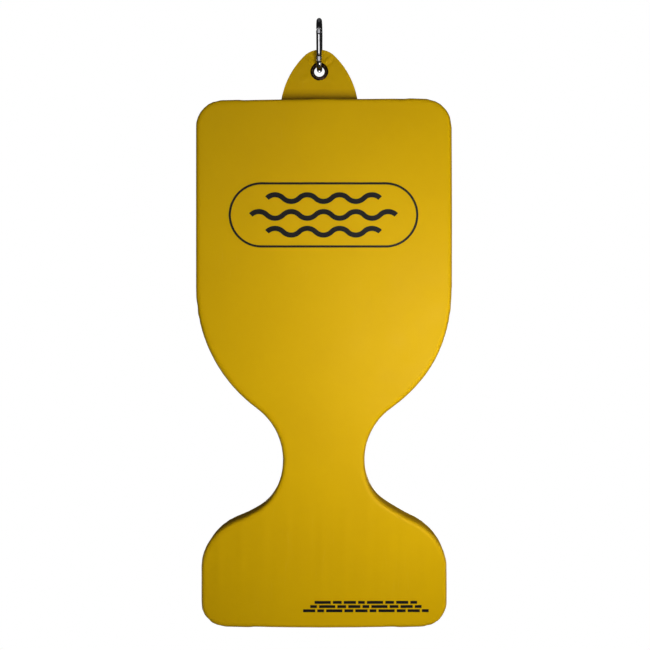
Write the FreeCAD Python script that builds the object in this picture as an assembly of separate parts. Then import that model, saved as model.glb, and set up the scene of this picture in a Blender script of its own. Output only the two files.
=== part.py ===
"""Water saddle float: a vinyl-coated foam board that hangs by a tab and grommet from a snap hook.

Millimetres, +Z up, +X to the right, the printed front towards -Y. The origin is the point that a nail
or rail bears on, inside the top bend of the hook. The board, the tab and the hook share the mid-plane
y = 0. Each piece has its own function, and the last lines write each piece to its own STEP file.
"""
import os
from math import asin, atan2, cos, degrees, radians, sin, sqrt

import FreeCAD, Part

V = FreeCAD.Vector

# ---- Driving dimensions ------------------------------------------------------------------------
# Board: widths from its own centre line, depths from the top edge down
BOARD_LENGTH = 792.0
BOARD_THICKNESS = 38.0
UPPER_HALF_WIDTH = 191.0
LOWER_HALF_WIDTH = 183.5
NECK_HALF_WIDTH = 61.0
NECK_DEPTH = 541.0
NECK_RADIUS = 96.0
UPPER_SHOULDER_RADIUS = 222.0
LOWER_SHOULDER_RADIUS = 72.0
TOP_CORNER_RADIUS = 39.0
BOTTOM_CORNER_RADIUS = 37.0
END_BOW_RADIUS = 4600.0        # the top and bottom edges bow out very slightly
EDGE_RADIUS = 7.0              # rounding of the front and back edges
SKIN = 0.9                     # vinyl coat
BOARD_OFFSET = 7.0             # the board's centre line lies this far to the right of the tab's

# Hang tab
TAB_HEIGHT = 78.0
TAB_HALF_WIDTH = 58.0          # at its base
TAB_NOSE_RADIUS = 33.0
TAB_SIDE_RADIUS = 120.0
TAB_THICKNESS = 3.0
FABRIC_THICKNESS = 1.2         # woven core inside the vinyl
FABRIC_MARGIN = 4.0            # vinyl all round the fabric's edge
FABRIC_ROOT_DEPTH = 70.0       # how far the fabric runs down between the plies
FABRIC_ROOT_HALF_WIDTH = 50.0
BEND_CLEARANCE = 0.5           # flap above the board, and fabric root below its top
GROMMET_DROP = 32.9            # from the top of the tab to the grommet's centre

# Grommet
HOLE_RADIUS = 8.0
RIM_RADIUS = 13.5
CREST_RADIUS = 10.4            # radius at which each rim stands highest
RIM_HEIGHT = 1.6               # above each face of the tab
BARREL_WALL = 0.8
WASHER_HEIGHT = 0.7
CURL_OVERHANG = 0.9            # the rolled end past its crest

# Snap hook, bent from round wire
WIRE_RADIUS = 4.0
HOOK_LENGTH = 80.0             # over the wire
HOOK_TOP_WIDTH = 40.0          # over the wire, at the latch end
HOOK_BOTTOM_WIDTH = 28.0       # over the wire, at the hinge end
TONGUE_THICKNESS = 3.4         # both ends of the wire are flattened to this
SLOT_WIDTH = 3.8               # in both ends of the gate
HINGE_HEIGHT = 5.0             # hinge rivet above the lower end of the gate line
HINGE_PIN_RADIUS = 1.5
LATCH_PIN_RADIUS = 1.3
LATCH_DROP = 4.0               # latch pin below the upper end of the gate line
GATE_END_GAP = 0.6             # gate to wire at the latch end
END_CHAMFER = 0.7              # on the ends of the wire and of the gate
BORE_RADIUS = 2.3
BORE_TOP = 34.0                # above the lower end of the gate line
PLUNGER_TOP = 14.0
PIN_HEAD_MARGIN = 0.8          # rivet heads past their shanks
PIN_HEAD_HEIGHT = 0.7
SPRING_WIRE_RADIUS = 0.35
SPRING_RADIUS = 1.75
SPRING_PITCH = 2.0
RUNNING_FIT = 0.05             # radial, rivet to tongue
HANG_PLAY = 0.3                # grommet to wire, all round

# Ink
INK = 0.08
EMBLEM_DEPTH = 175.0           # centre, below the top edge
EMBLEM_WIDTH = 282.0
EMBLEM_HEIGHT = 97.0
EMBLEM_LINE = 3.2
WAVE_RADIUS = 17.0
WAVE_STROKE = 7.5
NOTICE_DEPTH = 757.5           # middle row, below the top edge
NOTICE_OFFSET = 63.0           # right of the board's centre line
NOTICE_ROW_PITCH = 6.2
NOTICE_ROW_HEIGHT = 4.2

# ---- Heights that follow from them -------------------------------------------------------------
HOOK_BOTTOM_Z = 2 * WIRE_RADIUS - HOOK_LENGTH
GROMMET_Z = HOOK_BOTTOM_Z + 2 * WIRE_RADIUS + HANG_PLAY - HOLE_RADIUS
TAB_TOP_Z = GROMMET_Z + GROMMET_DROP
BOARD_TOP_Z = TAB_TOP_Z - TAB_HEIGHT
BEND_Z = BOARD_TOP_Z + BEND_CLEARANCE + TAB_THICKNESS / 2
FRONT_Y = -BOARD_THICKNESS / 2


def box(low, high):
    """A box from its lowest corner to its highest."""
    size = [b - a for a, b in zip(low, high)]
    return Part.makeBox(size[0], size[1], size[2], V(*low))


def polygon(points):
    """A flat face with straight sides."""
    return Part.Face(Part.makePolygon(points + points[:1]))


def arc_edge(centre, radius, start_deg, end_deg):
    """An arc in the XZ plane from one angle to another."""
    def at(angle):
        return V(centre[0] + radius * cos(radians(angle)), 0, centre[1] + radius * sin(radians(angle)))

    return Part.Arc(at(start_deg), at((start_deg + end_deg) / 2), at(end_deg)).toShape()


# ---- Board -------------------------------------------------------------------------------------
def bowed_end(half_width, corner_radius):
    """Height of the corner's centre below the top of a bowed end, and the angle where the two meet."""
    corner_x = half_width - corner_radius
    reach = END_BOW_RADIUS - corner_radius
    drop = END_BOW_RADIUS - sqrt(reach ** 2 - corner_x ** 2)
    return drop, degrees(asin(corner_x / reach))


def touching_circle(half_width, radius, above):
    """Centre of the shoulder circle that touches the side and the neck circle, and its angle to the neck."""
    neck_x, neck_z = NECK_HALF_WIDTH + NECK_RADIUS, -NECK_DEPTH
    centre_x = half_width - radius
    rise = sqrt((radius + NECK_RADIUS) ** 2 - (neck_x - centre_x) ** 2)
    centre_z = neck_z + rise if above else neck_z - rise
    return (centre_x, centre_z), degrees(atan2(neck_z - centre_z, neck_x - centre_x))


def board_outline(inset):
    """The hourglass, from arcs and lines that run smoothly into one another, moved in by inset."""
    neck = (NECK_HALF_WIDTH + NECK_RADIUS, -NECK_DEPTH)
    upper, upper_angle = touching_circle(UPPER_HALF_WIDTH, UPPER_SHOULDER_RADIUS, True)
    lower, lower_angle = touching_circle(LOWER_HALF_WIDTH, LOWER_SHOULDER_RADIUS, False)
    top_drop, top_angle = bowed_end(UPPER_HALF_WIDTH, TOP_CORNER_RADIUS)
    bottom_drop, bottom_angle = bowed_end(LOWER_HALF_WIDTH, BOTTOM_CORNER_RADIUS)
    top_corner = (UPPER_HALF_WIDTH - TOP_CORNER_RADIUS, -top_drop)
    bottom_corner = (LOWER_HALF_WIDTH - BOTTOM_CORNER_RADIUS, bottom_drop - BOARD_LENGTH)
    upper_side = UPPER_HALF_WIDTH - inset
    lower_side = LOWER_HALF_WIDTH - inset

    right = [
        arc_edge(top_corner, TOP_CORNER_RADIUS - inset, 90 - top_angle, 0),
        Part.makeLine(V(upper_side, 0, top_corner[1]), V(upper_side, 0, upper[1])),
        arc_edge(upper, UPPER_SHOULDER_RADIUS - inset, 0, upper_angle),
        arc_edge(neck, NECK_RADIUS + inset, 180 + upper_angle, 180 + lower_angle),
        arc_edge(lower, LOWER_SHOULDER_RADIUS - inset, lower_angle, 0),
        Part.makeLine(V(lower_side, 0, lower[1]), V(lower_side, 0, bottom_corner[1])),
        arc_edge(bottom_corner, BOTTOM_CORNER_RADIUS - inset, 0, bottom_angle - 90),
    ]
    left = [edge.mirror(V(0, 0, 0), V(1, 0, 0)) for edge in right]
    bow = END_BOW_RADIUS - inset
    top = arc_edge((0, -END_BOW_RADIUS), bow, 90 + top_angle, 90 - top_angle)
    bottom = arc_edge((0, END_BOW_RADIUS - BOARD_LENGTH), bow, -90 - bottom_angle, -90 + bottom_angle)
    return Part.Wire(Part.sortEdges(right + left + [top, bottom])[0])


def board_slab(inset):
    """The whole board, moved in by inset on every side, with its front and back edges rounded."""
    half = BOARD_THICKNESS / 2 - inset
    face = Part.Face(board_outline(inset))
    face.translate(V(BOARD_OFFSET, -half, BOARD_TOP_Z))
    slab = face.extrude(V(0, 2 * half, 0))
    rims = [e for e in slab.Edges if abs(abs(e.CenterOfMass.y) - half) < 1e-6]
    return slab.makeFillet(EDGE_RADIUS - inset, rims)


def tab_root():
    """The lower end of the tab's fabric, bonded between the two plies."""
    half = FABRIC_THICKNESS / 2
    return box((-FABRIC_ROOT_HALF_WIDTH, -half, BOARD_TOP_Z - FABRIC_ROOT_DEPTH),
               (FABRIC_ROOT_HALF_WIDTH, half, BOARD_TOP_Z - BEND_CLEARANCE))


def foam_ply(side):
    """One of the two plies that meet at the mid-plane: side -1 is the front one, +1 the back one."""
    reach = BOARD_LENGTH + UPPER_HALF_WIDTH
    near, far = sorted((0, side * BOARD_THICKNESS))
    half_space = box((-reach, near, BOARD_TOP_Z - reach), (reach, far, BOARD_TOP_Z + reach))
    return board_slab(SKIN).common(half_space).cut(tab_root())


def vinyl_skin():
    """The coat round the whole board, slit at the top where the tab's fabric comes out."""
    half = FABRIC_THICKNESS / 2
    slit = box((-FABRIC_ROOT_HALF_WIDTH, -half, BOARD_TOP_Z - 2 * SKIN),
               (FABRIC_ROOT_HALF_WIDTH, half, BOARD_TOP_Z + SKIN))
    return board_slab(0).cut(board_slab(SKIN)).cut(slit)


# ---- Hang tab ----------------------------------------------------------------------------------
def tab_face(margin, base_z):
    """The half-oval: two long side arcs that run smoothly into a round nose, moved in by margin."""
    nose_z = TAB_TOP_Z - TAB_NOSE_RADIUS
    reach = TAB_SIDE_RADIUS - TAB_NOSE_RADIUS
    # the side arc's circle passes through the corner at the base and touches the nose's circle inside
    base_x, base_drop = TAB_HALF_WIDTH, nose_z - BOARD_TOP_Z
    swing = sqrt(base_x ** 2 + base_drop ** 2)
    known = (TAB_SIDE_RADIUS ** 2 - base_x ** 2 - base_drop ** 2 - reach ** 2) / (2 * reach)
    turn = degrees(asin(known / swing)) + degrees(atan2(base_drop, base_x))
    side = (-reach * sin(radians(turn)), nose_z - reach * cos(radians(turn)))
    radius = TAB_SIDE_RADIUS - margin
    base_angle = degrees(asin((base_z - side[1]) / radius))
    right = arc_edge(side, radius, base_angle, 90 - turn)
    left = right.mirror(V(0, 0, 0), V(1, 0, 0))
    nose = arc_edge((0, nose_z), TAB_NOSE_RADIUS - margin, 90 - turn, 90 + turn)
    base_half = side[0] + radius * cos(radians(base_angle))
    base = Part.makeLine(V(-base_half, 0, base_z), V(base_half, 0, base_z))
    return Part.Face(Part.Wire(Part.sortEdges([right, nose, left, base])[0])), base_half


def tab_plate(margin, thickness):
    """A plate of the tab's outline that ends at the bend line."""
    face, base_half = tab_face(margin, BEND_Z)
    face.translate(V(0, -thickness / 2, 0))
    return face.extrude(V(0, thickness, 0)), base_half


def barrel_hole():
    """Punched through the tab for the grommet's barrel."""
    length = 4 * TAB_THICKNESS
    return Part.makeCylinder(HOLE_RADIUS + BARREL_WALL, length, V(0, -length / 2, GROMMET_Z), V(0, 1, 0))


def tab_core():
    """Woven fabric inside the flap."""
    plate, _ = tab_plate(FABRIC_MARGIN, FABRIC_THICKNESS)
    return plate.cut(barrel_hole())


def tab_skin():
    """The vinyl coat over the flap. Its lower edge is round, about the line that the tab bends on."""
    plate, base_half = tab_plate(0, TAB_THICKNESS)
    edge = Part.makeCylinder(TAB_THICKNESS / 2, 2 * base_half, V(-base_half, 0, BEND_Z), V(1, 0, 0))
    return plate.fuse(edge).removeSplitter().cut(barrel_hole()).cut(tab_core())


# ---- Grommet -----------------------------------------------------------------------------------
def spun(edges):
    """A closed profile, drawn as radius along X and place along Y, spun about the grommet's axis."""
    ring = Part.Face(Part.Wire(Part.sortEdges(edges)[0])).revolve(V(0, 0, 0), V(0, 1, 0), 360)
    ring.translate(V(0, 0, GROMMET_Z))
    return ring


def line(a, b):
    return Part.makeLine(V(a[0], a[1], 0), V(b[0], b[1], 0))


def curve(a, middle, b):
    return Part.Arc(V(a[0], a[1], 0), V(middle[0], middle[1], 0), V(b[0], b[1], 0)).toShape()


def grommet_eyelet():
    """Barrel with its front rim, and its back end rolled over the washer."""
    face = TAB_THICKNESS / 2
    crest = face + RIM_HEIGHT
    roll = CREST_RADIUS - HOLE_RADIUS
    start = crest - roll
    outer = HOLE_RADIUS + BARREL_WALL
    bevel = roll * sin(radians(45))
    # the front rim falls from its crest to the tab in one arc, level at the crest
    run = RIM_RADIUS - CREST_RADIUS
    fall = (run ** 2 + RIM_HEIGHT ** 2) / (2 * RIM_HEIGHT)
    half_turn = asin(run / fall) / 2
    seat = face + WASHER_HEIGHT
    curl = crest - seat
    curl_bevel = curl * sin(radians(45))
    return spun([
        line((outer, -face), (RIM_RADIUS, -face)),
        curve((RIM_RADIUS, -face),
              (CREST_RADIUS + fall * sin(half_turn), fall - crest - fall * cos(half_turn)),
              (CREST_RADIUS, -crest)),
        curve((CREST_RADIUS, -crest), (CREST_RADIUS - bevel, -start - bevel), (HOLE_RADIUS, -start)),
        line((HOLE_RADIUS, -start), (HOLE_RADIUS, start)),
        curve((HOLE_RADIUS, start), (CREST_RADIUS - bevel, start + bevel), (CREST_RADIUS, crest)),
        curve((CREST_RADIUS, crest), (CREST_RADIUS + curl_bevel, seat + curl_bevel),
              (CREST_RADIUS + curl, seat)),
        line((CREST_RADIUS + curl, seat), (outer, seat)),
        line((outer, seat), (outer, -face)),
    ])


def grommet_washer():
    """Ring on the back of the tab, held by the barrel's rolled end."""
    face = TAB_THICKNESS / 2
    seat = face + WASHER_HEIGHT
    inner = HOLE_RADIUS + BARREL_WALL
    shoulder = CREST_RADIUS + RIM_HEIGHT - WASHER_HEIGHT
    middle = (0.4 * shoulder + 0.6 * RIM_RADIUS, face + 0.75 * WASHER_HEIGHT)
    return spun([
        line((inner, face), (RIM_RADIUS, face)),
        curve((RIM_RADIUS, face), middle, (shoulder, seat)),
        line((shoulder, seat), (inner, seat)),
        line((inner, seat), (inner, face)),
    ])


# ---- Snap hook ---------------------------------------------------------------------------------
BOTTOM_BEND = HOOK_BOTTOM_WIDTH / 2 - WIRE_RADIUS
TOP_BEND = HOOK_TOP_WIDTH / 2 - WIRE_RADIUS
BOTTOM_BEND_Z = HOOK_BOTTOM_Z + HOOK_BOTTOM_WIDTH / 2
TOP_BEND_Z = 2 * WIRE_RADIUS - HOOK_TOP_WIDTH / 2
LEAN = asin((TOP_BEND - BOTTOM_BEND) / (TOP_BEND_Z - BOTTOM_BEND_Z))
GATE_LINE = (TOP_BEND_Z - BOTTOM_BEND_Z) * cos(LEAN)


def bend_point(side, bend, bend_z):
    """Where a bend runs into a leg: side -1 is the gate's, +1 the plain leg's."""
    return V(0, side * bend * cos(LEAN), bend_z - bend * sin(LEAN))


def on_gate_line(shape):
    """Places a shape drawn with +Z up the gate line from its lower end and +Y into the hook."""
    placed = shape.copy()
    placed.rotate(V(0, 0, 0), V(1, 0, 0), degrees(LEAN))
    placed.translate(bend_point(-1, BOTTOM_BEND, BOTTOM_BEND_Z))
    return placed


def across(radius, z, length, y=0.0):
    """A round bar or hole across the gate line."""
    return Part.makeCylinder(radius, length, V(-length / 2, y, z), V(1, 0, 0))


def flat_tongue(points):
    """A flattened wire end, from its outline in Y and Z along the gate line."""
    half = TONGUE_THICKNESS / 2
    face = polygon([V(-half, y, z) for y, z in points])
    return face.extrude(V(TONGUE_THICKNESS, 0, 0))


def hinge_tongue():
    """The wire's lower end, flat, with the rivet's hole and a flat tip that the plunger bears on."""
    wide, tip = 0.85 * WIRE_RADIUS, 0.5 * WIRE_RADIUS
    top = HINGE_HEIGHT + 3.2
    outline = [(-wide, -1), (wide, -1), (wide, HINGE_HEIGHT + 1), (tip, top), (-tip, top),
               (-wide, HINGE_HEIGHT + 1)]
    return flat_tongue(outline).cut(across(HINGE_PIN_RADIUS + RUNNING_FIT, HINGE_HEIGHT, 10))


def nose_tongue():
    """The wire's upper end, flat, with a notch that the gate's latch pin closes into from inside."""
    pin_z = GATE_LINE - LATCH_DROP
    play = LATCH_PIN_RADIUS + 0.3
    wide, head = 0.9 * WIRE_RADIUS, LATCH_PIN_RADIUS + 0.6
    outline = [(-wide, GATE_LINE + 1), (wide, GATE_LINE + 1), (wide, pin_z + play), (-play, pin_z + play),
               (-play, pin_z - play), (head, pin_z - play), (head, pin_z - play - 1.6),
               (-wide + 1, pin_z - play - 1.6), (-wide, pin_z - play - 0.6)]
    return flat_tongue(outline)


def hook_frame():
    """The bent wire: round the bottom bend, up the plain leg and over the top to the nose."""
    start = bend_point(-1, BOTTOM_BEND, BOTTOM_BEND_Z)
    path = Part.Wire([
        Part.Arc(start, V(0, 0, BOTTOM_BEND_Z - BOTTOM_BEND),
                 bend_point(1, BOTTOM_BEND, BOTTOM_BEND_Z)).toShape(),
        Part.makeLine(bend_point(1, BOTTOM_BEND, BOTTOM_BEND_Z), bend_point(1, TOP_BEND, TOP_BEND_Z)),
        Part.Arc(bend_point(1, TOP_BEND, TOP_BEND_Z), V(0, 0, TOP_BEND_Z + TOP_BEND),
                 bend_point(-1, TOP_BEND, TOP_BEND_Z)).toShape(),
    ])
    ring = Part.Wire(Part.Circle(start, V(0, -sin(LEAN), cos(LEAN)), WIRE_RADIUS).toShape())
    wire = path.makePipeShell([ring], True, False)
    ends = [start, bend_point(-1, TOP_BEND, TOP_BEND_Z)]
    cut_edges = [e for e in wire.Edges if any((e.CenterOfMass - end).Length < 0.01 for end in ends)]
    wire = wire.makeChamfer(END_CHAMFER, cut_edges)
    return wire.fuse(on_gate_line(hinge_tongue())).fuse(on_gate_line(nose_tongue())).removeSplitter()


def hook_gate():
    """Round bar, slotted at both ends, drilled from below for the spring and the plunger."""
    top = GATE_LINE - GATE_END_GAP
    bar = Part.makeCylinder(WIRE_RADIUS, top - HINGE_HEIGHT, V(0, 0, HINGE_HEIGHT))
    bar = bar.makeChamfer(END_CHAMFER, [e for e in bar.Edges if abs(e.CenterOfMass.z - top) < 1e-6])
    bar = bar.fuse(across(WIRE_RADIUS, HINGE_HEIGHT, 2 * WIRE_RADIUS).common(
        Part.makeCylinder(WIRE_RADIUS, 2 * WIRE_RADIUS, V(0, 0, HINGE_HEIGHT - WIRE_RADIUS))))
    half = SLOT_WIDTH / 2
    lower_slot = box((-half, -9, -1), (half, 9, 2 * HINGE_HEIGHT))
    upper_slot = box((-half, -9, GATE_LINE - LATCH_DROP - LATCH_PIN_RADIUS - 2.7), (half, 9, top + 1))
    bore = Part.makeCylinder(BORE_RADIUS, BORE_TOP - HINGE_HEIGHT, V(0, 0, HINGE_HEIGHT))
    for cutter in (lower_slot, upper_slot, bore, pin_shape(HINGE_PIN_RADIUS, HINGE_HEIGHT),
                   pin_shape(LATCH_PIN_RADIUS, GATE_LINE - LATCH_DROP)):
        bar = bar.cut(cutter)
    return on_gate_line(bar)


def pin_shape(radius, z):
    """A rivet across the gate: a plain shank, and at each end a low head sunk in a spot face."""
    seat = WIRE_RADIUS - 0.6
    shank = across(radius, z, 2 * seat)
    heads = [Part.makeCylinder(radius + PIN_HEAD_MARGIN, PIN_HEAD_HEIGHT, V(side * seat, 0, z), V(side, 0, 0))
             for side in (-1, 1)]
    return shank.fuse(heads).removeSplitter()


def domed(pin):
    """The same rivet with the outer edges of its heads rounded off."""
    reach = pin.BoundBox.XMax
    rims = [e for e in pin.Edges if abs(abs(e.CenterOfMass.x) - reach) < 1e-6]
    return pin.makeFillet(0.75 * PIN_HEAD_HEIGHT, rims)


def gate_hinge_pin():
    return on_gate_line(domed(pin_shape(HINGE_PIN_RADIUS, HINGE_HEIGHT)))


def gate_latch_pin():
    return on_gate_line(domed(pin_shape(LATCH_PIN_RADIUS, GATE_LINE - LATCH_DROP)))


def gate_plunger():
    """Slides in the gate's bore and presses on the flat tip of the hinge tongue."""
    nose_z = HINGE_HEIGHT + 3.4
    radius = BORE_RADIUS - 0.08
    head = Part.makeCylinder(radius, PLUNGER_TOP - nose_z, V(0, 0, nose_z))
    stem = Part.makeCylinder(SPRING_RADIUS - SPRING_WIRE_RADIUS - 0.2, 4, V(0, 0, PLUNGER_TOP - 0.5))
    return on_gate_line(head.fuse(stem).removeSplitter())


def gate_spring():
    """Compression spring between the plunger and the end of the bore."""
    low = PLUNGER_TOP + SPRING_WIRE_RADIUS
    high = BORE_TOP - SPRING_WIRE_RADIUS
    helix = Part.makeHelix(SPRING_PITCH, high - low, SPRING_RADIUS)
    helix.translate(V(0, 0, low))
    ring = Part.Wire(Part.Circle(V(SPRING_RADIUS, 0, low), V(0, 1, 0), SPRING_WIRE_RADIUS).toShape())
    return on_gate_line(Part.Wire(helix.Edges).makePipeShell([ring], True, True))


# ---- Ink ---------------------------------------------------------------------------------------
def printed(face, x, depth):
    """A flat ink shape on the front of the board, from its centre's place on the board."""
    shape = face.copy()
    shape.translate(V(BOARD_OFFSET + x, FRONT_Y - INK, BOARD_TOP_Z - depth))
    return shape.extrude(V(0, INK, 0))


def pill_face(width, height):
    """A level bar with round ends."""
    radius = height / 2
    end = width / 2 - radius
    edges = [
        Part.makeLine(V(-end, 0, radius), V(end, 0, radius)),
        arc_edge((end, 0), radius, 90, -90),
        Part.makeLine(V(end, 0, -radius), V(-end, 0, -radius)),
        arc_edge((-end, 0), radius, 270, 90),
    ]
    return Part.Face(Part.Wire(edges))


def wave_face(half_waves, z):
    """A line of even waves, from quarter rings that are arched up and down by turns."""
    half_wave = WAVE_RADIUS * sqrt(2)
    inner, outer = WAVE_RADIUS - WAVE_STROKE / 2, WAVE_RADIUS + WAVE_STROKE / 2
    pieces = []
    for number in range(half_waves):
        up = 1 if number % 2 == 0 else -1
        x = (number - (half_waves - 1) / 2) * half_wave
        centre = (x, z - up * half_wave / 2)
        start, end = (45, 135) if up == 1 else (225, 315)
        low_arc = arc_edge(centre, inner, start, end)
        high_arc = arc_edge(centre, outer, start, end)
        sides = [Part.makeLine(low_arc.Vertexes[i].Point, high_arc.Vertexes[i].Point) for i in (0, 1)]
        pieces.append(Part.Face(Part.Wire(Part.sortEdges([low_arc, high_arc] + sides)[0])))
    return pieces[0].fuse(pieces[1:]).removeSplitter()


def printed_emblem():
    """A pill-shaped frame round three rows of waves."""
    inner = pill_face(EMBLEM_WIDTH - 2 * EMBLEM_LINE, EMBLEM_HEIGHT - 2 * EMBLEM_LINE)
    frame = pill_face(EMBLEM_WIDTH, EMBLEM_HEIGHT).cut(inner)
    shapes = [printed(frame, 0, EMBLEM_DEPTH)]
    for half_waves, z in ((7, 25.0), (9, 0.0), (7, -25.0)):
        shapes.append(printed(wave_face(half_waves, z), 0, EMBLEM_DEPTH))
    return Part.makeCompound(shapes)


def printed_notice():
    """Three rows of plain dashes."""
    dash_lengths = (18.0, 10.0, 24.0, 13.0)
    gap = 3.2
    shapes = []
    for row, dashes in enumerate((10, 9, 8)):
        lengths = [dash_lengths[(number + row) % 4] for number in range(dashes)]
        x = -(sum(lengths) + gap * (dashes - 1)) / 2
        z = (row - 1) * NOTICE_ROW_PITCH
        for length in lengths:
            dash = polygon([V(x, 0, z - NOTICE_ROW_HEIGHT / 2), V(x + length, 0, z - NOTICE_ROW_HEIGHT / 2),
                            V(x + length, 0, z + NOTICE_ROW_HEIGHT / 2), V(x, 0, z + NOTICE_ROW_HEIGHT / 2)])
            shapes.append(printed(dash, NOTICE_OFFSET, NOTICE_DEPTH))
            x += length + gap
    return Part.makeCompound(shapes)


PIECES = {
    "foam_core_front": foam_ply(-1),
    "foam_core_back": foam_ply(1),
    "vinyl_skin": vinyl_skin(),
    "tab_root": tab_root(),
    "tab_core": tab_core(),
    "tab_skin": tab_skin(),
    "grommet_eyelet": grommet_eyelet(),
    "grommet_washer": grommet_washer(),
    "hook_frame": hook_frame(),
    "hook_gate": hook_gate(),
    "gate_hinge_pin": gate_hinge_pin(),
    "gate_latch_pin": gate_latch_pin(),
    "gate_plunger": gate_plunger(),
    "gate_spring": gate_spring(),
    "printed_emblem": printed_emblem(),
    "printed_notice": printed_notice(),
}

os.makedirs("parts", exist_ok=True)
for name, shape in PIECES.items():
    shape.exportStep(f"parts/{name}.step")
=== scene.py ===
from math import atan2, cos, pi, radians, sin, sqrt

import bmesh
import bpy
import numpy as np
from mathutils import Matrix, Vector, noise


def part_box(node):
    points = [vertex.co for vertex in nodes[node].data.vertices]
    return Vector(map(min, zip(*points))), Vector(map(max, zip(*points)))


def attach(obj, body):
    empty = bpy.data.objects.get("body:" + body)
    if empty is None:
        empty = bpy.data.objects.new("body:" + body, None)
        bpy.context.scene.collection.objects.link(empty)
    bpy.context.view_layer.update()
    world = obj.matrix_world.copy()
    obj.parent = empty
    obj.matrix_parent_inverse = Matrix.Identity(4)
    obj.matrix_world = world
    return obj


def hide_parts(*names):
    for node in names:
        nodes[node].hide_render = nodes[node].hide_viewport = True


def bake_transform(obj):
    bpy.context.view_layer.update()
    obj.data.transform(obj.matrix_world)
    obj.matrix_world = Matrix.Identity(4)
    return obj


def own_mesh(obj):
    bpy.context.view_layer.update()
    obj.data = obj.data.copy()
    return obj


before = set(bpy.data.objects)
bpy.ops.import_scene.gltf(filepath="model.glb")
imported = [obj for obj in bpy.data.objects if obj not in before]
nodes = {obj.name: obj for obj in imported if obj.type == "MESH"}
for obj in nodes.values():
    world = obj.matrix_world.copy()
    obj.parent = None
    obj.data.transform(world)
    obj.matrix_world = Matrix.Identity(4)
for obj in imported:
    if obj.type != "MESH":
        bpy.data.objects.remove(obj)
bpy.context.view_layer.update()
bpy.ops.object.select_all(action="DESELECT")

# ---- Camera -------------------------------------------------------------------------------------
# A metre in front of the board and a little to the right of its centre line, at the height of its
# waist. It looks straight back, so the small sideways shift only frames the float.
EYE = (0.047, -1.04, -0.457)
LENS = 38.0
FRAMING_SHIFT = (-0.0391, 0.0015)
bpy.ops.object.camera_add(location=EYE, rotation=(radians(90), 0, 0))
camera = bpy.context.object
camera.name = "view_camera"
camera.data.sensor_width = 36
camera.data.lens = LENS
camera.data.shift_x, camera.data.shift_y = FRAMING_SHIFT
bpy.context.scene.camera = camera

# ---- Float board --------------------------------------------------------------------------------
# The real board is two plies of closed-cell foam, bonded round the tab's fabric and dipped in liquid
# vinyl, which draws the edges round, leaves the faces faintly crowned and sets with shallow runs.
BOARD_AXIS = 0.007
BOARD_HALF_WIDTH = 0.19
BOARD_BOTTOM = -0.9088
BOARD_FRONT = -0.017      # everything nearer the front than this is the front face
SKIN_GRID = 0.003
SAME_POINT = 1e-5         # corners closer than this are one
SETTLING_PASSES = 14
SETTLE_IN, SETTLE_OUT = 1.0, -1.06
EDGE_REGAIN = 0.0003      # what smoothing takes off the rounded edges


def smooth_step(low, high, value):
    """0 below low, 1 above high, and an even curve between, for numbers or arrays."""
    t = np.clip((value - low) / (high - low), 0, 1)
    return t * t * (3 - 2 * t)


def points_of(mesh):
    """The mesh's vertices as an array of rows."""
    flat = np.empty(3 * len(mesh.vertices))
    mesh.vertices.foreach_get("co", flat)
    return flat.reshape(-1, 3)


def normals_of(mesh):
    """The mesh's vertex normals as an array of rows."""
    flat = np.empty(3 * len(mesh.vertices))
    mesh.vertex_normals.foreach_get("vector", flat)
    return flat.reshape(-1, 3)


def use_only(piece):
    """Makes piece the active object and the only selected one."""
    bpy.ops.object.select_all(action="DESELECT")
    piece.select_set(True)
    bpy.context.view_layer.objects.active = piece


def apply_modifier(piece, name, kind, **settings):
    """Adds a modifier with these settings and applies it."""
    use_only(piece)
    modifier = piece.modifiers.new(name, kind)
    for key, value in settings.items():
        setattr(modifier, key, value)
    bpy.ops.object.modifier_apply(modifier=modifier.name)


def merged_copy(node, name):
    """A new object with a copy of a CAD node's mesh, its loose triangles joined up."""
    piece = bpy.data.objects.new(name, nodes[node].data.copy())
    bpy.context.scene.collection.objects.link(piece)
    use_only(piece)
    bpy.ops.object.mode_set(mode="EDIT")
    bpy.ops.mesh.select_all(action="SELECT")
    bpy.ops.mesh.remove_doubles(threshold=SAME_POINT)
    bpy.ops.mesh.select_all(action="DESELECT")
    bpy.ops.object.mode_set(mode="OBJECT")
    return piece


float_board = merged_copy("vinyl_skin", "float_board")
apply_modifier(float_board, "even_grid", "REMESH", mode="VOXEL", voxel_size=SKIN_GRID, adaptivity=0)
apply_modifier(float_board, "drawn_round", "SMOOTH", factor=0.5, iterations=4)
apply_modifier(float_board, "back_to_size", "SHRINKWRAP", target=nodes["vinyl_skin"],
               wrap_method="NEAREST_SURFACEPOINT")
# each pass in is followed by a slightly stronger one out: small steps go, the roundings stay
for _ in range(SETTLING_PASSES):
    apply_modifier(float_board, "evened_in", "SMOOTH", factor=SETTLE_IN, iterations=1)
    apply_modifier(float_board, "evened_out", "SMOOTH", factor=SETTLE_OUT, iterations=1)

# the grid is made finer where the crease will be
CREASE_X, CREASE_TOP, CREASE_BOTTOM = 0.078, -0.402, -0.439
FINE_SIDE, FINE_END = 0.009, 0.006
use_only(float_board)
bpy.ops.object.mode_set(mode="EDIT")
board_mesh = bmesh.from_edit_mesh(float_board.data)
for face in board_mesh.faces:
    middle = face.calc_center_median()
    beside = abs(middle.x - CREASE_X) < FINE_SIDE
    along = CREASE_BOTTOM - FINE_END < middle.z < CREASE_TOP + FINE_END
    face.select_set(beside and along and middle.y < BOARD_FRONT)
bpy.ops.mesh.subdivide(number_cuts=2)
bpy.ops.mesh.select_all(action="DESELECT")
bpy.ops.object.mode_set(mode="OBJECT")


CROWN_HEIGHT, WAVE_HEIGHT, RUN_HEIGHT = 0.0005, 0.00035, 0.00016
RUN_SPACING, FINE_RUN_SPACING, RUN_WANDER = 0.031, 0.017, 0.012


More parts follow.
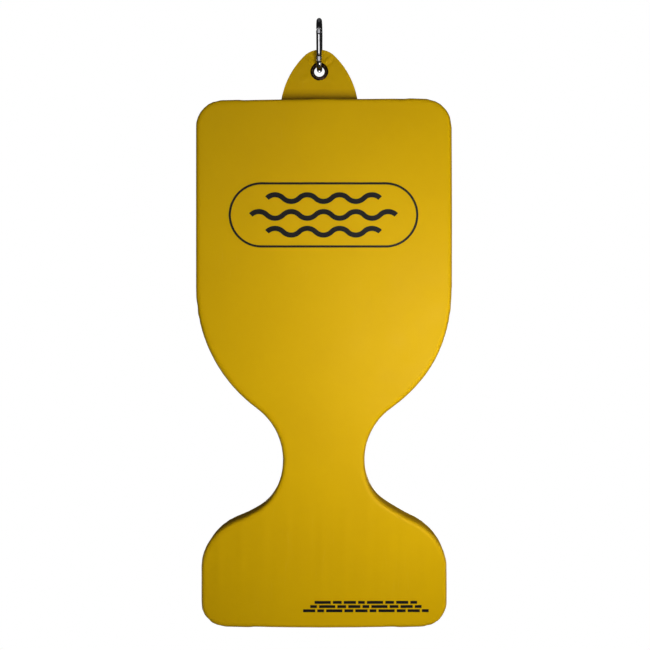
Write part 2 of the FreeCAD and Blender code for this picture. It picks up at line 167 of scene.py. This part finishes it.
def board_relief(x, z):
    """How far the coated face stands proud of a flat one, in metres: crown, slow waves and runs."""
    crown = CROWN_HEIGHT * (1 - ((x - BOARD_AXIS) / BOARD_HALF_WIDTH) ** 2)
    waves = np.array([noise.noise(Vector((6 * a, 0.3, 4 * b))) for a, b in zip(x, z)])
    wander = np.array([noise.noise(Vector((3 * a, 7.1, 9 * b))) for a, b in zip(x, z)])
    lobe = smooth_step(-0.66, -0.76, z) * smooth_step(BOARD_BOTTOM + 0.012, BOARD_BOTTOM + 0.1, z)
    wide_runs = np.sin(2 * pi * (x + RUN_WANDER * wander) / RUN_SPACING)
    runs = RUN_HEIGHT * lobe * (wide_runs + 0.6 * np.sin(2 * pi * x / FINE_RUN_SPACING))
    return crown + WAVE_HEIGHT * waves + runs


CREASE_FADE = 0.012
GROOVE_DEPTH, GROOVE_WIDTH = 0.00022, 0.0013
LIP_HEIGHT, LIP_WIDTH, LIP_AWAY = 0.00008, 0.0016, 0.003


def crease_depth(x, z):
    """A short upright crease pressed into the front, deepest at its middle, with a low lip beside it."""
    lean = CREASE_X + 0.0012 * np.sin((z - CREASE_TOP) / CREASE_FADE)
    along = smooth_step(CREASE_BOTTOM, CREASE_BOTTOM + CREASE_FADE, z)
    along = along * smooth_step(CREASE_TOP, CREASE_TOP - CREASE_FADE, z)
    groove = GROOVE_DEPTH * np.exp(-((x - lean) / GROOVE_WIDTH) ** 2)
    return along * (groove - LIP_HEIGHT * np.exp(-((x - lean + LIP_AWAY) / LIP_WIDTH) ** 2))


# the blank was sawn by hand, a little full in places: the middle of each, how far it reaches, and
# how far it stands out
SAWN_FULL = (((0.105, -0.748), (0.045, 0.030), (0.0022, 0.0068)),
             ((0.160, -0.500), (0.050, 0.070), (0.0024, -0.0010)),
             ((-0.095, -0.752), (0.045, 0.024), (-0.0010, 0.0040)),
             ((0.140, -0.1168), (0.070, 0.030), (0.0, 0.0022)),
             ((0.198, -0.300), (0.020, 0.170), (0.0010, 0.0)),
             ((0.190, -0.850), (0.030, 0.060), (0.0010, 0.0)))

place, normal = points_of(float_board.data), normals_of(float_board.data)
x, y, z = place.T.copy()
for (near_x, near_z), (wide, high), (out_x, out_z) in SAWN_FULL:
    share = np.exp(-((x - near_x) / wide) ** 2 - ((z - near_z) / high) ** 2)
    place[:, 0] += out_x * share
    place[:, 2] += out_z * share
facing = smooth_step(0.6, 1.0, np.abs(normal[:, 1]))
place[:, 1] += np.sign(y) * facing * board_relief(x, z)
place[:, 1] += facing * (y < 0) * crease_depth(x, z)
rounding = 1 - (2 * normal[:, 1] ** 2 - 1) ** 2
place += normal * (EDGE_REGAIN * rounding)[:, None]
float_board.data.vertices.foreach_set("co", place.ravel())
float_board.data.update()
use_only(float_board)
bpy.ops.object.shade_smooth()


def mark_edge_shade(piece):
    """Stores how far the surface turns away from the flat, which sets the painted shade on the turned edges.
    """
    turn = 1 - np.abs(normals_of(piece.data)[:, 1])
    attribute = piece.data.attributes.new("edge_turn", "FLOAT", "POINT")
    attribute.data.foreach_set("value", smooth_step(0.04, 0.5, turn).astype(np.float32))


mark_edge_shade(float_board)


def add_node(tree, kind, label, **inputs):
    """A node with a label and with its input values set by name."""
    node = tree.nodes.new(kind)
    node.name = node.label = label
    for key, value in inputs.items():
        node.inputs[key.replace("_", " ")].default_value = value
    return node


def noise_node(tree, label, coords, scale, detail=2.0, roughness=0.5):
    """A noise texture on the given coordinates."""
    node = add_node(tree, "ShaderNodeTexNoise", label, Scale=scale, Detail=detail, Roughness=roughness)
    tree.links.new(coords, node.inputs["Vector"])
    return node.outputs["Fac"]


def rescale(tree, label, value, from_low, from_high, to_low, to_high):
    """Maps a value from one range to another, clamped."""
    node = tree.nodes.new("ShaderNodeMapRange")
    node.name = node.label = label
    for socket, number in zip(node.inputs[1:5], (from_low, from_high, to_low, to_high)):
        socket.default_value = number
    tree.links.new(value, node.inputs[0])
    return node.outputs[0]


def math_node(tree, label, operation, first, second):
    """Arithmetic on two values, each a socket or a number."""
    node = tree.nodes.new("ShaderNodeMath")
    node.name = node.label = label
    node.operation = operation
    for socket, value in zip(node.inputs, (first, second)):
        if isinstance(value, (int, float)):
            socket.default_value = value
        else:
            tree.links.new(value, socket)
    return node.outputs[0]


def colour_mix(tree, label, factor, first, second):
    """Mixes two colours, each a socket or a fixed colour."""
    node = tree.nodes.new("ShaderNodeMix")
    node.name = node.label = label
    node.data_type = "RGBA"
    for socket, value in ((node.inputs[0], factor), (node.inputs[6], first), (node.inputs[7], second)):
        if isinstance(value, (int, float, tuple)):
            socket.default_value = value
        else:
            tree.links.new(value, socket)
    return node.outputs[2]


def new_material(name):
    """An empty node material with its shader, and its object coordinates."""
    material = bpy.data.materials.new(name)
    material.use_nodes = True
    tree = material.node_tree
    shader = tree.nodes["Principled BSDF"]
    coords = tree.nodes.new("ShaderNodeTexCoord")
    return material, tree, shader, coords.outputs["Object"]


def bump_into(tree, shader, height, distance, strength=1.0):
    """Feeds a height to the shader's normal."""
    bump = add_node(tree, "ShaderNodeBump", "surface_relief", Strength=strength, Distance=distance)
    tree.links.new(height, bump.inputs["Height"])
    tree.links.new(bump.outputs["Normal"], shader.inputs["Normal"])


def dipped_vinyl_group():
    """Vinyl coat: cloudy colour, painted shade on the turned edges, satin patches, fine pebbling, and rub
    marks. Colour, roughness, height.
    """
    group = bpy.data.node_groups.new("dipped_vinyl", "ShaderNodeTree")
    face = group.interface
    face.new_socket("Coordinates", in_out="INPUT", socket_type="NodeSocketVector")
    face.new_socket("Coat Colour", in_out="INPUT", socket_type="NodeSocketColor")
    face.new_socket("Edge Shade Colour", in_out="INPUT", socket_type="NodeSocketColor")
    face.new_socket("Edge Turn", in_out="INPUT", socket_type="NodeSocketFloat")
    face.new_socket("Rubbing", in_out="INPUT", socket_type="NodeSocketFloat")
    face.new_socket("Colour", in_out="OUTPUT", socket_type="NodeSocketColor")
    face.new_socket("Roughness", in_out="OUTPUT", socket_type="NodeSocketFloat")
    face.new_socket("Height", in_out="OUTPUT", socket_type="NodeSocketFloat")
    given = group.nodes.new("NodeGroupInput").outputs
    result = group.nodes.new("NodeGroupOutput").inputs
    where = given["Coordinates"]

    clouds = rescale(group, "clouds", noise_node(group, "slow_clouds", where, 7, 3), 0.3, 0.7, 0, 1)
    cloudy = colour_mix(group, "cloudy", math_node(group, "cloud_share", "MULTIPLY", clouds, 0.12),
                        given["Coat Colour"], (0.55, 0.29, 0.002, 1))
    specks = rescale(group, "specks", noise_node(group, "fine_specks", where, 620, 2), 0.62, 0.75, 0, 0.06)
    specked = colour_mix(group, "specked", specks, cloudy, (0.93, 0.68, 0.10, 1))
    # painted shade: the colour darkens towards the edge shade colour where the surface turns away from the
    # flat
    edge_shaded = colour_mix(group, "edge_shaded", given["Edge Turn"], specked, given["Edge Shade Colour"])

    stretch = group.nodes.new("ShaderNodeMapping")
    stretch.inputs["Rotation"].default_value = (0, radians(24), 0)
    stretch.inputs["Scale"].default_value = (1, 1, 0.06)
    group.links.new(where, stretch.inputs["Vector"])
    strokes = noise_node(group, "rub_strokes", stretch.outputs["Vector"], 420, 3, 0.6)
    rubs = rescale(group, "rubs", strokes, 0.6, 0.75, 0, 1)
    patches = rescale(group, "rub_patches", noise_node(group, "rub_places", where, 11, 2), 0.52, 0.66, 0, 1)
    rubbed = math_node(group, "rubbed", "MULTIPLY", math_node(group, "in_patches", "MULTIPLY", rubs, patches),
                       given["Rubbing"])
    satin = rescale(group, "satin", noise_node(group, "satin_patches", where, 34, 4), 0.3, 0.7, 0.42, 0.52)
    rub_gain = math_node(group, "rub_gain", "MULTIPLY", rubbed, 0.16)
    roughness = math_node(group, "rub_roughness", "ADD", satin, rub_gain)
    colour = colour_mix(group, "rub_bloom", math_node(group, "bloom_share", "MULTIPLY", rubbed, 0.10), edge_shaded,
                        (0.95, 0.72, 0.20, 1))

    pebbles = noise_node(group, "pebbling", where, 520, 2)
    peel = noise_node(group, "orange_peel", where, 95, 2)
    relief = math_node(group, "pebbles_share", "MULTIPLY", pebbles, 0.35)
    relief = math_node(group, "relief", "ADD", relief, peel)
    scratches = math_node(group, "scratch_share", "MULTIPLY", rubbed, 0.3)
    relief = math_node(group, "scratched", "SUBTRACT", relief, scratches)
    group.links.new(colour, result["Colour"])
    group.links.new(roughness, result["Roughness"])
    group.links.new(relief, result["Height"])
    return group


dipped_vinyl = dipped_vinyl_group()


PEBBLE_DEPTH = 0.00022


def vinyl_material(name, coat, edge_shade, rubbing):
    """Dipped vinyl of one colour, with its own colour of painted shade for the turned edges, and wear."""
    material, tree, shader, coords = new_material(name)
    effect = tree.nodes.new("ShaderNodeGroup")
    effect.node_tree = dipped_vinyl
    effect.inputs["Coat Colour"].default_value = coat
    effect.inputs["Edge Shade Colour"].default_value = edge_shade
    effect.inputs["Rubbing"].default_value = rubbing
    turn = tree.nodes.new("ShaderNodeAttribute")
    turn.attribute_name = "edge_turn"
    tree.links.new(coords, effect.inputs["Coordinates"])
    tree.links.new(turn.outputs["Fac"], effect.inputs["Edge Turn"])
    tree.links.new(effect.outputs["Colour"], shader.inputs["Base Color"])
    tree.links.new(effect.outputs["Roughness"], shader.inputs["Roughness"])
    bump_into(tree, shader, effect.outputs["Height"], PEBBLE_DEPTH, 0.75)
    shader.inputs["Specular IOR Level"].default_value = 0.10
    return material


# the second colour is the painted shade on the board's turned edges
board_vinyl = vinyl_material("board_vinyl", (0.80, 0.51, 0.001, 1), (0.50, 0.30, 0.004, 1), 0.7)
float_board.data.materials.clear()
float_board.data.materials.append(board_vinyl)
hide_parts("vinyl_skin")
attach(float_board, "float")

# ---- Foam plies ---------------------------------------------------------------------------------
# Closed-cell foam, cut from sheet: it stays as it was drawn, inside the coat. Its cells show as fine
# pits on every cut face.


def foam_material():
    """Off-white foam with round cells, painted darker towards each cell's middle as the shade in its pit."""
    material, tree, shader, coords = new_material("closed_cell_foam")
    cells = add_node(tree, "ShaderNodeTexVoronoi", "foam_cells", Scale=700)
    tree.links.new(coords, cells.inputs["Vector"])
    depth = rescale(tree, "cell_depth", cells.outputs["Distance"], 0, 0.6, 0, 1)
    # painted shade: darker in each cell's pit
    tree.links.new(colour_mix(tree, "pit_shaded_colour", depth, (0.55, 0.53, 0.46, 1), (0.82, 0.80, 0.72, 1)),
                   shader.inputs["Base Color"])
    tree.links.new(rescale(tree, "cell_roughness", depth, 0, 1, 0.95, 0.75), shader.inputs["Roughness"])
    bump_into(tree, shader, depth, 0.0003)
    return material


cell_foam = foam_material()
for name in ("foam_core_front", "foam_core_back"):
    nodes[name].data.materials.clear()
    nodes[name].data.materials.append(cell_foam)

# ---- Hang tab -----------------------------------------------------------------------------------
# A half-oval flap of woven fabric under the same vinyl. Its root is bonded between the plies, and the
# weight on the grommet has set creases into it that run up and out from the hole.
HOLE_CENTRE_Z = -0.0717
TAB_HOLE = 0.0088
NOSE_RADIUS, SIDE_RADIUS = 0.033, 0.120
SIDE_CENTRE = (-0.06075, -0.13407)
TAB_FOOT = -0.1225
BEND_LINE = -0.1148
TAB_THICKNESS = 0.003
TAB_SIDES, TAB_RINGS = 180, 30
DRIP_EDGE = 0.0013
LIP_SWELL = 0.9


def tab_reach(angle):
    """Distance from the hole's centre to the tab's outline, at an angle from straight up."""
    along_x, along_z = abs(sin(angle)), cos(angle)
    off_x, off_z = -SIDE_CENTRE[0], HOLE_CENTRE_Z - SIDE_CENTRE[1]
    inward = off_x * along_x + off_z * along_z
    side = -inward + sqrt(inward ** 2 - off_x ** 2 - off_z ** 2 + SIDE_RADIUS ** 2)
    foot = (TAB_FOOT - HOLE_CENTRE_Z) / along_z if along_z < -1e-6 else 1.0
    nose = NOSE_RADIUS if abs(angle) < radians(45) else 1.0
    return min(side, foot, nose)


bpy.ops.object.select_all(action="DESELECT")
bpy.ops.mesh.primitive_circle_add(vertices=TAB_SIDES, radius=TAB_HOLE, location=(0, 0, HOLE_CENTRE_Z),
                                  rotation=(radians(90), 0, 0))
hang_tab = bpy.context.object
hang_tab.name = hang_tab.data.name = "hang_tab"
bpy.ops.object.transform_apply(location=True, rotation=True, scale=True)
bpy.ops.object.mode_set(mode="EDIT")
bpy.ops.mesh.select_all(action="SELECT")
for ring in range(1, TAB_RINGS + 1):
    bpy.ops.mesh.extrude_edges_indiv()
    tab_mesh = bmesh.from_edit_mesh(hang_tab.data)
    share = ring / TAB_RINGS
    for vertex in tab_mesh.verts:
        if vertex.select:
            angle = atan2(vertex.co.x, vertex.co.z - HOLE_CENTRE_Z)
            reach = TAB_HOLE + share * (tab_reach(angle) - TAB_HOLE)
            vertex.co = (reach * sin(angle), 0, HOLE_CENTRE_Z + reach * cos(angle))
    bmesh.update_edit_mesh(hang_tab.data)
bpy.ops.mesh.select_all(action="SELECT")
bpy.ops.mesh.normals_make_consistent(inside=False)
bpy.ops.object.mode_set(mode="OBJECT")

# creases, each as angle from straight up, height, width and reach from the hole's centre
TAB_CREASES = ((-40, 0.0014, 0.0026, 0.032), (-25, -0.0011, 0.0024, 0.029), (37, 0.0014, 0.0026, 0.032),
               (52, -0.0011, 0.0028, 0.030), (-118, 0.0007, 0.0045, 0.036), (125, 0.0005, 0.0045, 0.034))
place = points_of(hang_tab.data)
from_hole = np.hypot(place[:, 0], place[:, 2] - HOLE_CENTRE_Z)
angle = np.arctan2(place[:, 0], place[:, 2] - HOLE_CENTRE_Z)
lift = np.zeros(len(place))
for lean, height, width, reach in TAB_CREASES:
    across = from_hole * (angle - radians(lean))
    lift += height * np.exp(-(across / width) ** 2) * smooth_step(reach, 0.6 * reach, from_hole)
lift += 0.0005 * np.sin(place[:, 0] / 0.021 + 0.6) * smooth_step(0.02, 0.035, from_hole)
# the creases die away under the grommet's rim and towards the board
lift *= smooth_step(0.0136, 0.018, from_hole) * smooth_step(-0.112, -0.100, place[:, 2])
place[:, 1] -= lift
hang_tab.data.vertices.foreach_set("co", place.ravel())
apply_modifier(hang_tab, "coated_fabric", "SOLIDIFY", thickness=TAB_THICKNESS, offset=0)
apply_modifier(hang_tab, "drip_edge", "BEVEL", width=DRIP_EDGE, segments=4, limit_method="ANGLE",
               angle_limit=radians(50))

# the coat runs out into a small lip where the flap meets the board
place = points_of(hang_tab.data)
place[:, 1] *= 1 + LIP_SWELL * smooth_step(BEND_LINE - 0.0002, BEND_LINE - 0.0024, place[:, 2])
hang_tab.data.vertices.foreach_set("co", place.ravel())
hang_tab.data.update()
use_only(hang_tab)
bpy.ops.object.shade_smooth()
mark_edge_shade(hang_tab)


def paint_foot_shade(material):
    """Painted shade: the flap's colour darkens towards the corner where it meets the board, standing in for
    the shadow there.
    """
    tree = material.node_tree
    shader = tree.nodes["Principled BSDF"]
    colour = shader.inputs["Base Color"].links[0].from_socket
    parts = tree.nodes.new("ShaderNodeSeparateXYZ")
    tree.links.new(tree.nodes["Texture Coordinate"].outputs["Object"], parts.inputs["Vector"])
    # painted shade, darkening the colour towards the flap's foot
    foot = rescale(tree, "foot_shade_mask", parts.outputs["Z"], -0.0975, -0.1145, 0, 0.8)
    tree.links.new(colour_mix(tree, "painted_foot_shade", foot, colour, (0.34, 0.19, 0.001, 1)),
                   shader.inputs["Base Color"])


# the second colour is the painted shade on the tab's turned edges
tab_vinyl = vinyl_material("tab_vinyl", (0.80, 0.51, 0.001, 1), (0.36, 0.22, 0.006, 1), 0.5)
# painted shade at the foot of the tab
paint_foot_shade(tab_vinyl)
hang_tab.data.materials.append(tab_vinyl)
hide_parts("tab_skin", "tab_core")
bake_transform(hang_tab)

# ---- Tab root -----------------------------------------------------------------------------------
# The bare end of the tab's fabric, glued between the plies: plain-woven polyester, which stays as it
# was drawn and shows its over-and-under weave.


def woven_material():
    """Plain weave of light yarn, two yarns to the millimetre, painted darker in the hollows between yarns as
    shade.
    """
    material, tree, shader, coords = new_material("woven_polyester")
    parts = tree.nodes.new("ShaderNodeSeparateXYZ")
    tree.links.new(coords, parts.inputs["Vector"])
    rows = {}
    for axis in ("X", "Z"):
        turns = math_node(tree, axis + "_turns", "MULTIPLY", parts.outputs[axis], 2 * pi * 1000)
        rows[axis] = math_node(tree, axis + "_yarns", "SINE", turns, 0.0)
    weave = math_node(tree, "over_and_under", "MULTIPLY", rows["X"], rows["Z"])
    height = rescale(tree, "weave_height", weave, -1, 1, 0, 1)
    # painted shade: darker where the weave dips between yarns
    tree.links.new(colour_mix(tree, "weave_shaded_colour", height, (0.46, 0.44, 0.38, 1), (0.78, 0.76, 0.68, 1)),
                   shader.inputs["Base Color"])
    tree.links.new(rescale(tree, "yarn_roughness", height, 0, 1, 0.9, 0.7), shader.inputs["Roughness"])
    bump_into(tree, shader, height, 0.0002)
    return material


woven_polyester = woven_material()
nodes["tab_root"].data.materials.clear()
nodes["tab_root"].data.materials.append(woven_polyester)

# ---- Print --------------------------------------------------------------------------------------
# A pill-shaped frame round three rows of waves, and rows of dashes at the foot: one pass of black
# screen ink, rolled flat on the vinyl, so it follows every wave of the face under it.
INK_LIFT = 0.0001
INK_GRID = 0.006


def ink_piece(node, name, step):
    """The printed shape cut into small squares, laid on the board's front and given its film."""
    piece = merged_copy(node, name)
    bpy.ops.object.mode_set(mode="EDIT")
    bpy.ops.mesh.select_mode(type="FACE")
    ink = bmesh.from_edit_mesh(piece.data)
    for face in ink.faces:
        face.select_set(face.normal.y > -0.9)
    bpy.ops.mesh.delete(type="FACE")
    low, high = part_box(node)
    for axis in (0, 2):
        direction = [0, 0, 0]
        direction[axis] = 1
        for count in range(1, int((high[axis] - low[axis]) / step) + 1):
            point = [0, 0, 0]
            point[axis] = low[axis] + count * step
            bpy.ops.mesh.select_all(action="SELECT")
            bpy.ops.mesh.bisect(plane_co=point, plane_no=direction)
    bpy.ops.mesh.select_all(action="DESELECT")
    bpy.ops.mesh.select_mode(type="VERT")
    bpy.ops.object.mode_set(mode="OBJECT")
    apply_modifier(piece, "laid_on", "SHRINKWRAP", target=float_board, wrap_method="PROJECT",
                   use_project_x=False, use_project_y=True, use_project_z=False,
                   use_negative_direction=True, use_positive_direction=True)
    bpy.ops.object.mode_set(mode="EDIT")
    bpy.ops.mesh.select_all(action="SELECT")
    bpy.ops.transform.translate(value=(0, -INK_LIFT, 0))
    bpy.ops.mesh.select_all(action="DESELECT")
    bpy.ops.object.mode_set(mode="OBJECT")
    bpy.ops.object.shade_smooth()
    return piece


printed_emblem = ink_piece("printed_emblem", "emblem_ink", INK_GRID)
printed_notice = ink_piece("printed_notice", "notice_ink", INK_GRID)


def ink_material():
    """Black ink with faint pinholes and a dull gloss."""
    material, tree, shader, coords = new_material("screen_ink")
    pins = rescale(tree, "pinholes", noise_node(tree, "pinhole_noise", coords, 900, 2), 0.66, 0.74, 0, 0.4)
    tree.links.new(colour_mix(tree, "ink_colour", pins, (0.006, 0.006, 0.008, 1), (0.10, 0.06, 0.004, 1)),
                   shader.inputs["Base Color"])
    dull = noise_node(tree, "dull_patches", coords, 60, 3)
    tree.links.new(rescale(tree, "ink_roughness", dull, 0.3, 0.7, 0.42, 0.6), shader.inputs["Roughness"])
    bump_into(tree, shader, pins, 0.00003)
    shader.inputs["Specular IOR Level"].default_value = 0.3
    return material


screen_ink = ink_material()
for piece, node in ((printed_emblem, "printed_emblem"), (printed_notice, "printed_notice")):
    piece.data.materials.clear()
    piece.data.materials.append(screen_ink)
    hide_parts(node)
    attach(piece, "float")

# ---- Grommet ------------------------------------------------------------------------------------
# A brass eyelet set with a hand press and finished dark brown: its barrel goes through the tab and is
# rolled over a washer at the back. The dark finish has rubbed thin on the crests.


def grommet_material():
    """Dark antique finish that turns to worn brass on the highest part of each rim."""
    material, tree, shader, coords = new_material("antique_brass")
    parts = tree.nodes.new("ShaderNodeSeparateXYZ")
    tree.links.new(coords, parts.inputs["Vector"])
    off = math_node(tree, "off_middle", "ABSOLUTE", parts.outputs["Y"], 0.0)
    crest = rescale(tree, "crest", off, 0.0028, 0.0031, 0, 1)
    wear = rescale(tree, "wear_patches", noise_node(tree, "wear_noise", coords, 420, 4), 0.48, 0.66, 0, 0.5)
    worn = math_node(tree, "worn", "MULTIPLY", crest, wear)
    tree.links.new(colour_mix(tree, "finish_colour", worn, (0.045, 0.026, 0.020, 1), (0.42, 0.30, 0.16, 1)),
                   shader.inputs["Base Color"])
    grime = noise_node(tree, "grime", coords, 260, 3)
    tree.links.new(rescale(tree, "finish_roughness", grime, 0.3, 0.7, 0.26, 0.42), shader.inputs["Roughness"])
    bump_into(tree, shader, grime, 0.00004)
    shader.inputs["Metallic"].default_value = 1.0
    return material


antique_brass = grommet_material()
for name in ("grommet_eyelet", "grommet_washer"):
    nodes[name].data.materials.clear()
    nodes[name].data.materials.append(antique_brass)

# ---- Snap hook ----------------------------------------------------------------------------------
# Bent steel wire with a turned gate bar, both bright plated, and steel rivets. The wire's plating is
# coloured darker as painted shade and the gate's lighter as a painted highlight. Plating shows fine
# lines along the wire from drawing it, and dulls where hands and rails rub it.


def drawn_lines_group():
    """Fine lines along Z and cloudy dulling, for plated and drawn wire: colour, roughness, height."""
    group = bpy.data.node_groups.new("drawn_lines", "ShaderNodeTree")
    face = group.interface
    face.new_socket("Coordinates", in_out="INPUT", socket_type="NodeSocketVector")
    face.new_socket("Bright", in_out="INPUT", socket_type="NodeSocketColor")
    face.new_socket("Dull", in_out="INPUT", socket_type="NodeSocketColor")
    face.new_socket("Polish", in_out="INPUT", socket_type="NodeSocketFloat")
    face.new_socket("Colour", in_out="OUTPUT", socket_type="NodeSocketColor")
    face.new_socket("Roughness", in_out="OUTPUT", socket_type="NodeSocketFloat")
    face.new_socket("Height", in_out="OUTPUT", socket_type="NodeSocketFloat")
    given = group.nodes.new("NodeGroupInput").outputs
    result = group.nodes.new("NodeGroupOutput").inputs
    stretch = group.nodes.new("ShaderNodeMapping")
    stretch.inputs["Scale"].default_value = (1, 1, 0.04)
    group.links.new(given["Coordinates"], stretch.inputs["Vector"])
    lines = noise_node(group, "lines", stretch.outputs["Vector"], 5200, 2)
    clouds = noise_node(group, "dull_clouds", given["Coordinates"], 110, 3)
    dull = rescale(group, "dulling", clouds, 0.50, 0.80, 0, 1)
    colour = colour_mix(group, "plating", dull, given["Bright"], given["Dull"])
    roughness = math_node(group, "line_roughness", "MULTIPLY", lines, 0.10)
    dull_gain = math_node(group, "dull_gain", "MULTIPLY", dull, 0.12)
    roughness = math_node(group, "dull_roughness", "ADD", roughness, dull_gain)
    roughness = math_node(group, "polished", "ADD", roughness, given["Polish"])
    group.links.new(colour, result["Colour"])
    group.links.new(roughness, result["Roughness"])
    group.links.new(lines, result["Height"])
    return group


drawn_lines = drawn_lines_group()
LINE_DEPTH = 0.000004


def steel_material(name, bright, dull, polish):
    """Metal of one brightness, with drawn lines."""
    material, tree, shader, coords = new_material(name)
    effect = tree.nodes.new("ShaderNodeGroup")
    effect.node_tree = drawn_lines
    effect.inputs["Bright"].default_value = bright
    effect.inputs["Dull"].default_value = dull
    effect.inputs["Polish"].default_value = polish
    tree.links.new(coords, effect.inputs["Coordinates"])
    tree.links.new(effect.outputs["Colour"], shader.inputs["Base Color"])
    tree.links.new(effect.outputs["Roughness"], shader.inputs["Roughness"])
    bump_into(tree, shader, effect.outputs["Height"], LINE_DEPTH, 0.4)
    shader.inputs["Metallic"].default_value = 1.0
    return material


# one plating in two colours: darker on the wire as painted shade, lighter on the gate as a painted highlight
shaded_plated_wire = steel_material("shaded_plated_wire", (0.26, 0.26, 0.28, 1), (0.16, 0.155, 0.15, 1), 0.06)
highlit_plated_gate = steel_material("highlit_plated_gate", (0.56, 0.56, 0.58, 1), (0.38, 0.37, 0.36, 1), 0.05)
rivet_steel = steel_material("rivet_steel", (0.30, 0.30, 0.31, 1), (0.16, 0.155, 0.15, 1), 0.14)
spring_wire = steel_material("spring_wire", (0.24, 0.235, 0.24, 1), (0.13, 0.12, 0.11, 1), 0.12)
for name, metal in (("hook_frame", shaded_plated_wire), ("hook_gate", highlit_plated_gate), ("gate_plunger", rivet_steel),
                    ("gate_hinge_pin", rivet_steel), ("gate_latch_pin", rivet_steel)):
    nodes[name].data.materials.clear()
    nodes[name].data.materials.append(metal)

# ---- Gate spring --------------------------------------------------------------------------------
# A small helical spring of hard wire in the gate's bore. Its upper end rests on the end of the bore,
# and the plunger squeezes it by about half a millimetre of its 20 when the gate is open.
gate_coil = merged_copy("gate_spring", "gate_coil")
gate_coil.data.materials.clear()
gate_coil.data.materials.append(spring_wire)
bpy.ops.object.shade_smooth()
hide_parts("gate_spring")
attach(gate_coil, "gate")
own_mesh(gate_coil)

# ---- Studio -------------------------------------------------------------------------------------
# A pale floor well below the float, a soft key light to the right at waist height, weak lights in
# front, above, beside and low behind it, and dim surroundings, which leave the turned edges dark.
FLOOR_DEPTH = -1.5
bpy.ops.object.select_all(action="DESELECT")
bpy.ops.mesh.primitive_circle_add(vertices=96, radius=7, fill_type="NGON", location=(0, 0, FLOOR_DEPTH))
floor = bpy.context.object
floor.name = "studio_floor"


def floor_material():
    """Matt pale floor, lit to white where it is looked at."""
    material, tree, shader, coords = new_material("pale_floor")
    grain = rescale(tree, "floor_grain", noise_node(tree, "floor_noise", coords, 3, 3), 0.3, 0.7, 0, 1)
    tree.links.new(colour_mix(tree, "floor_colour", grain, (0.58, 0.58, 0.58, 1), (0.62, 0.62, 0.62, 1)),
                   shader.inputs["Base Color"])
    shader.inputs["Roughness"].default_value = 0.9
    glow = add_node(tree, "ShaderNodeEmission", "floor_white", Color=(1, 1, 1, 1), Strength=1.0)
    path = tree.nodes.new("ShaderNodeLightPath")
    blend = tree.nodes.new("ShaderNodeMixShader")
    tree.links.new(path.outputs["Is Camera Ray"], blend.inputs[0])
    tree.links.new(shader.outputs[0], blend.inputs[1])
    tree.links.new(glow.outputs[0], blend.inputs[2])
    tree.links.new(blend.outputs[0], tree.nodes["Material Output"].inputs["Surface"])
    return material


floor.data.materials.append(floor_material())

world = bpy.data.worlds.new("studio_surround")
bpy.context.scene.world = world
world.use_nodes = True
sky = world.node_tree
sky.nodes["Background"].inputs["Color"].default_value = (1, 1, 1, 1)
sky.nodes["Background"].inputs["Strength"].default_value = 0.045
white = add_node(sky, "ShaderNodeBackground", "seen_white", Color=(1, 1, 1, 1), Strength=1.0)
path = sky.nodes.new("ShaderNodeLightPath")
blend = sky.nodes.new("ShaderNodeMixShader")
sky.links.new(path.outputs["Is Camera Ray"], blend.inputs[0])
sky.links.new(sky.nodes["Background"].outputs[0], blend.inputs[1])
sky.links.new(white.outputs[0], blend.inputs[2])
sky.links.new(blend.outputs[0], sky.nodes["World Output"].inputs["Surface"])


def soft_light(name, place, aim, size, power):
    """A rectangular soft box, wide and high, that faces a point."""
    bpy.ops.object.light_add(type="AREA", location=place)
    light = bpy.context.object
    light.name = name
    light.rotation_euler = (Vector(aim) - Vector(place)).to_track_quat("-Z", "Y").to_euler()
    light.data.shape = "RECTANGLE"
    light.data.size, light.data.size_y = size
    light.data.energy = power
    light.visible_camera = False


soft_light("key_light", (0.28, -0.66, -0.53), (0.09, 0, -0.52), (0.38, 0.38), 3.9)
soft_light("front_fill", (-0.2, -2.6, 0.2), (0, 0, -0.45), (1.5, 1.5), 7.5)
soft_light("side_strip", (1.25, -0.22, -0.50), (0.1, 0, -0.5), (0.3, 0.8), 2.6)
soft_light("high_strip", (0.0, -1.15, 0.10), (0, 0, -0.04), (1.2, 0.15), 0.6)
soft_light("top_light", (0.0, 0.2, 1.4), (0, 0, -0.4), (1.5, 1.5), 1.5)
soft_light("back_light", (0.0, 1.5, -1.2), (0, 0, -0.5), (0.9, 0.5), 14)
soft_light("left_low", (-1.4, 0.5, -1.25), (0, 0, -0.5), (0.8, 0.5), 4)
soft_light("right_low", (1.4, 0.5, -1.25), (0, 0, -0.5), (0.8, 0.5), 4)
bpy.context.scene.view_settings.view_transform = "Standard"
bpy.context.scene.view_settings.gamma = 0.88
